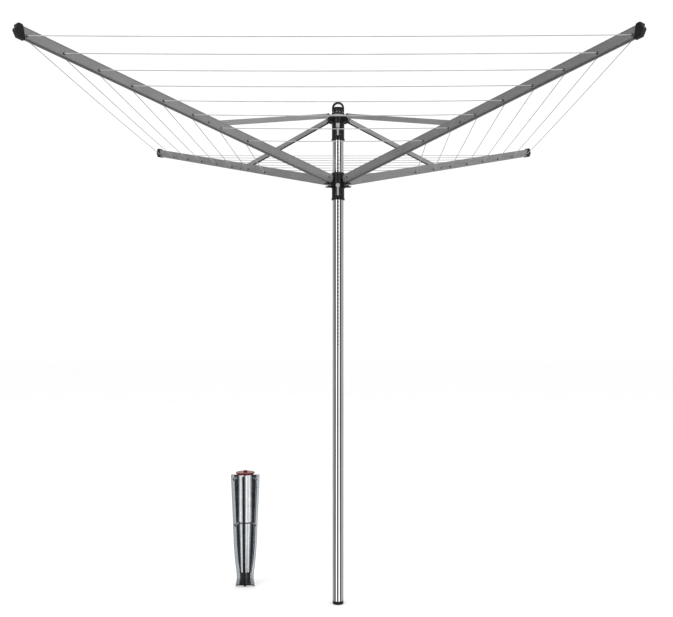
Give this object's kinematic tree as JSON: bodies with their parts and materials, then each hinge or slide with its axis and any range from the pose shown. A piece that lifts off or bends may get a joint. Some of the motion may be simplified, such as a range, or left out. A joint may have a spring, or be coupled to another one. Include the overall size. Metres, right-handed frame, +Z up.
{
  "type": "rotary clothesline",
  "caption": "Umbrella-frame rotary clothesline with sloping line arms on struts, square loops of line, a holed steel mast and a finned ground spear with cap.",
  "frame": {"origin": "centre of the mast foot's bottom face", "axes": "+Z up along the mast; -Y towards the side with the latch levers; arms at 45 degrees to X and Y; ground spear on the -X +Y side"},
  "size_m": [1.8934, 1.8934, 2.0152],
  "materials": {
    "mast_steel": "polished galvanised",
    "arm_metal": "satin mill",
    "strut_metal": "satin galvanised",
    "rivet_steel": "satin",
    "black_plastic": "satin moulded",
    "grey_plastic": "satin moulded",
    "line_plastic": "smooth sheathed cord",
    "spring_steel": "drawn wire",
    "spear_steel": "hot-dip galvanised",
    "red_plastic": "satin moulded"
  },
  "bodies": {
    "foot": {"foot_plug": "black_plastic"},
    "mast": {"mast_tube": "mast_steel", "mast_cap": "black_plastic", "mast_cap_core": "grey_plastic"},
    "upper_hub": {"upper_hub": "black_plastic", "upper_hub_liner": "black_plastic", "upper_hub_plate": "grey_plastic", "strut_pins": "rivet_steel", "upper_latch_sleeve": "black_plastic", "upper_lever_pin": "rivet_steel", "upper_lever_spring": "spring_steel"},
    "upper_lever": {"upper_latch_lever": "grey_plastic"},
    "lower_hub": {"lower_hub": "black_plastic", "lower_hub_liner": "black_plastic", "arm_pins": "rivet_steel", "lower_latch_sleeve": "black_plastic", "lower_lever_pin": "rivet_steel", "lower_lever_spring": "spring_steel"},
    "lower_lever": {"lower_latch_lever": "grey_plastic"},
    "spear": {"spear_tube": "spear_steel", "spear_fins": "spear_steel", "spear_liner": "black_plastic"},
    "spear_cap": {"spear_cap": "red_plastic"},
    "strut_front_left": {"strut_front_left": "strut_metal"},
    "arm_front_left": {"arm_front_left": "arm_metal", "rivet_front_left": "rivet_steel", "eyelets_front_left": "black_plastic", "end_cap_front_left": "black_plastic", "lines_front_left": "line_plastic"},
    "strut_front_right": {"strut_front_right": "strut_metal"},
    "arm_front_right": {"arm_front_right": "arm_metal", "rivet_front_right": "rivet_steel", "eyelets_front_right": "black_plastic", "end_cap_front_right": "black_plastic", "lines_front_right": "line_plastic"},
    "strut_back_right": {"strut_back_right": "strut_metal"},
    "arm_back_right": {"arm_back_right": "arm_metal", "rivet_back_right": "rivet_steel", "eyelets_back_right": "black_plastic", "end_cap_back_right": "black_plastic", "lines_back_right": "line_plastic"},
    "strut_back_left": {"strut_back_left": "strut_metal"},
    "arm_back_left": {"arm_back_left": "arm_metal", "rivet_back_left": "rivet_steel", "eyelets_back_left": "black_plastic", "end_cap_back_left": "black_plastic", "lines_back_left": "line_plastic"}
  },
  "joints": [
    {"name": "mast_spin", "type": "hinge", "parent": "foot", "child": "mast", "pos_m": [0, 0, 0], "axis": [0, 0, 1], "continuous": true},
    {"name": "height", "type": "slide", "parent": "mast", "child": "upper_hub", "axis": [0, 0, 1], "range_m": [-0.585, 0]},
    {"name": "fold", "type": "hinge", "parent": "upper_hub", "child": "strut_front_left", "pos_m": [-0.04101, -0.04101, 1.953], "axis": [0.7071, -0.7071, 0], "range_deg": [0, 77]},
    {"name": "strut_turn_front_right", "type": "hinge", "parent": "upper_hub", "child": "strut_front_right", "pos_m": [0.04101, -0.04101, 1.953], "axis": [0.7071, 0.7071, 0], "range_deg": [0, 77]},
    {"name": "strut_turn_back_right", "type": "hinge", "parent": "upper_hub", "child": "strut_back_right", "pos_m": [0.04101, 0.04101, 1.953], "axis": [-0.7071, 0.7071, 0], "range_deg": [0, 77]},
    {"name": "strut_turn_back_left", "type": "hinge", "parent": "upper_hub", "child": "strut_back_left", "pos_m": [-0.04101, 0.04101, 1.953], "axis": [-0.7071, -0.7071, 0], "range_deg": [0, 77]},
    {"name": "arm_turn_front_left", "type": "hinge", "parent": "strut_front_left", "child": "arm_front_left", "pos_m": [-0.4476, -0.4476, 1.8285], "axis": [0.7071, -0.7071, 0], "range_deg": [-154, 0], "deforming": ["lines_front_left"]},
    {"name": "arm_turn_front_right", "type": "hinge", "parent": "strut_front_right", "child": "arm_front_right", "pos_m": [0.4476, -0.4476, 1.8285], "axis": [0.7071, 0.7071, 0], "range_deg": [-154, 0], "deforming": ["lines_front_right"]},
    {"name": "arm_turn_back_right", "type": "hinge", "parent": "strut_back_right", "child": "arm_back_right", "pos_m": [0.4476, 0.4476, 1.8285], "axis": [-0.7071, 0.7071, 0], "range_deg": [-154, 0], "deforming": ["lines_back_right"]},
    {"name": "arm_turn_back_left", "type": "hinge", "parent": "strut_back_left", "child": "arm_back_left", "pos_m": [-0.4476, 0.4476, 1.8285], "axis": [-0.7071, -0.7071, 0], "range_deg": [-154, 0], "deforming": ["lines_back_left"]},
    {"name": "lower_hub_turn", "type": "hinge", "parent": "arm_front_left", "child": "lower_hub", "pos_m": [-0.04101, -0.04101, 1.704], "axis": [0.7071, -0.7071, 0], "range_deg": [0, 77]},
    {"name": "upper_lever_press", "type": "hinge", "parent": "upper_hub", "child": "upper_lever", "pos_m": [0, -0.029, 1.877], "axis": [1, 0, 0], "range_deg": [0, 20], "stiffness_Nm_per_rad": 0.6, "springref_deg": -11.46},
    {"name": "lower_lever_press", "type": "hinge", "parent": "lower_hub", "child": "lower_lever", "pos_m": [0, -0.029, 1.637], "axis": [1, 0, 0], "range_deg": [0, 20], "stiffness_Nm_per_rad": 0.6, "springref_deg": -11.46},
    {"name": "spear_lift", "type": "slide", "parent": "foot", "child": "spear", "axis": [0, 0, 1], "range_m": [0, 0.5]},
    {"name": "cap_lift", "type": "slide", "parent": "spear", "child": "spear_cap", "axis": [0, 0, 1], "range_m": [0, 0.1]}
  ],
  "couplings": [
    {"joint": "strut_turn_front_right", "follows": "fold", "ratio": 1},
    {"joint": "strut_turn_back_right", "follows": "fold", "ratio": 1},
    {"joint": "strut_turn_back_left", "follows": "fold", "ratio": 1},
    {"joint": "arm_turn_front_left", "follows": "fold", "ratio": -2},
    {"joint": "arm_turn_front_right", "follows": "fold", "ratio": -2},
    {"joint": "arm_turn_back_right", "follows": "fold", "ratio": -2},
    {"joint": "arm_turn_back_left", "follows": "fold", "ratio": -2},
    {"joint": "lower_hub_turn", "follows": "fold", "ratio": 1}
  ]
}
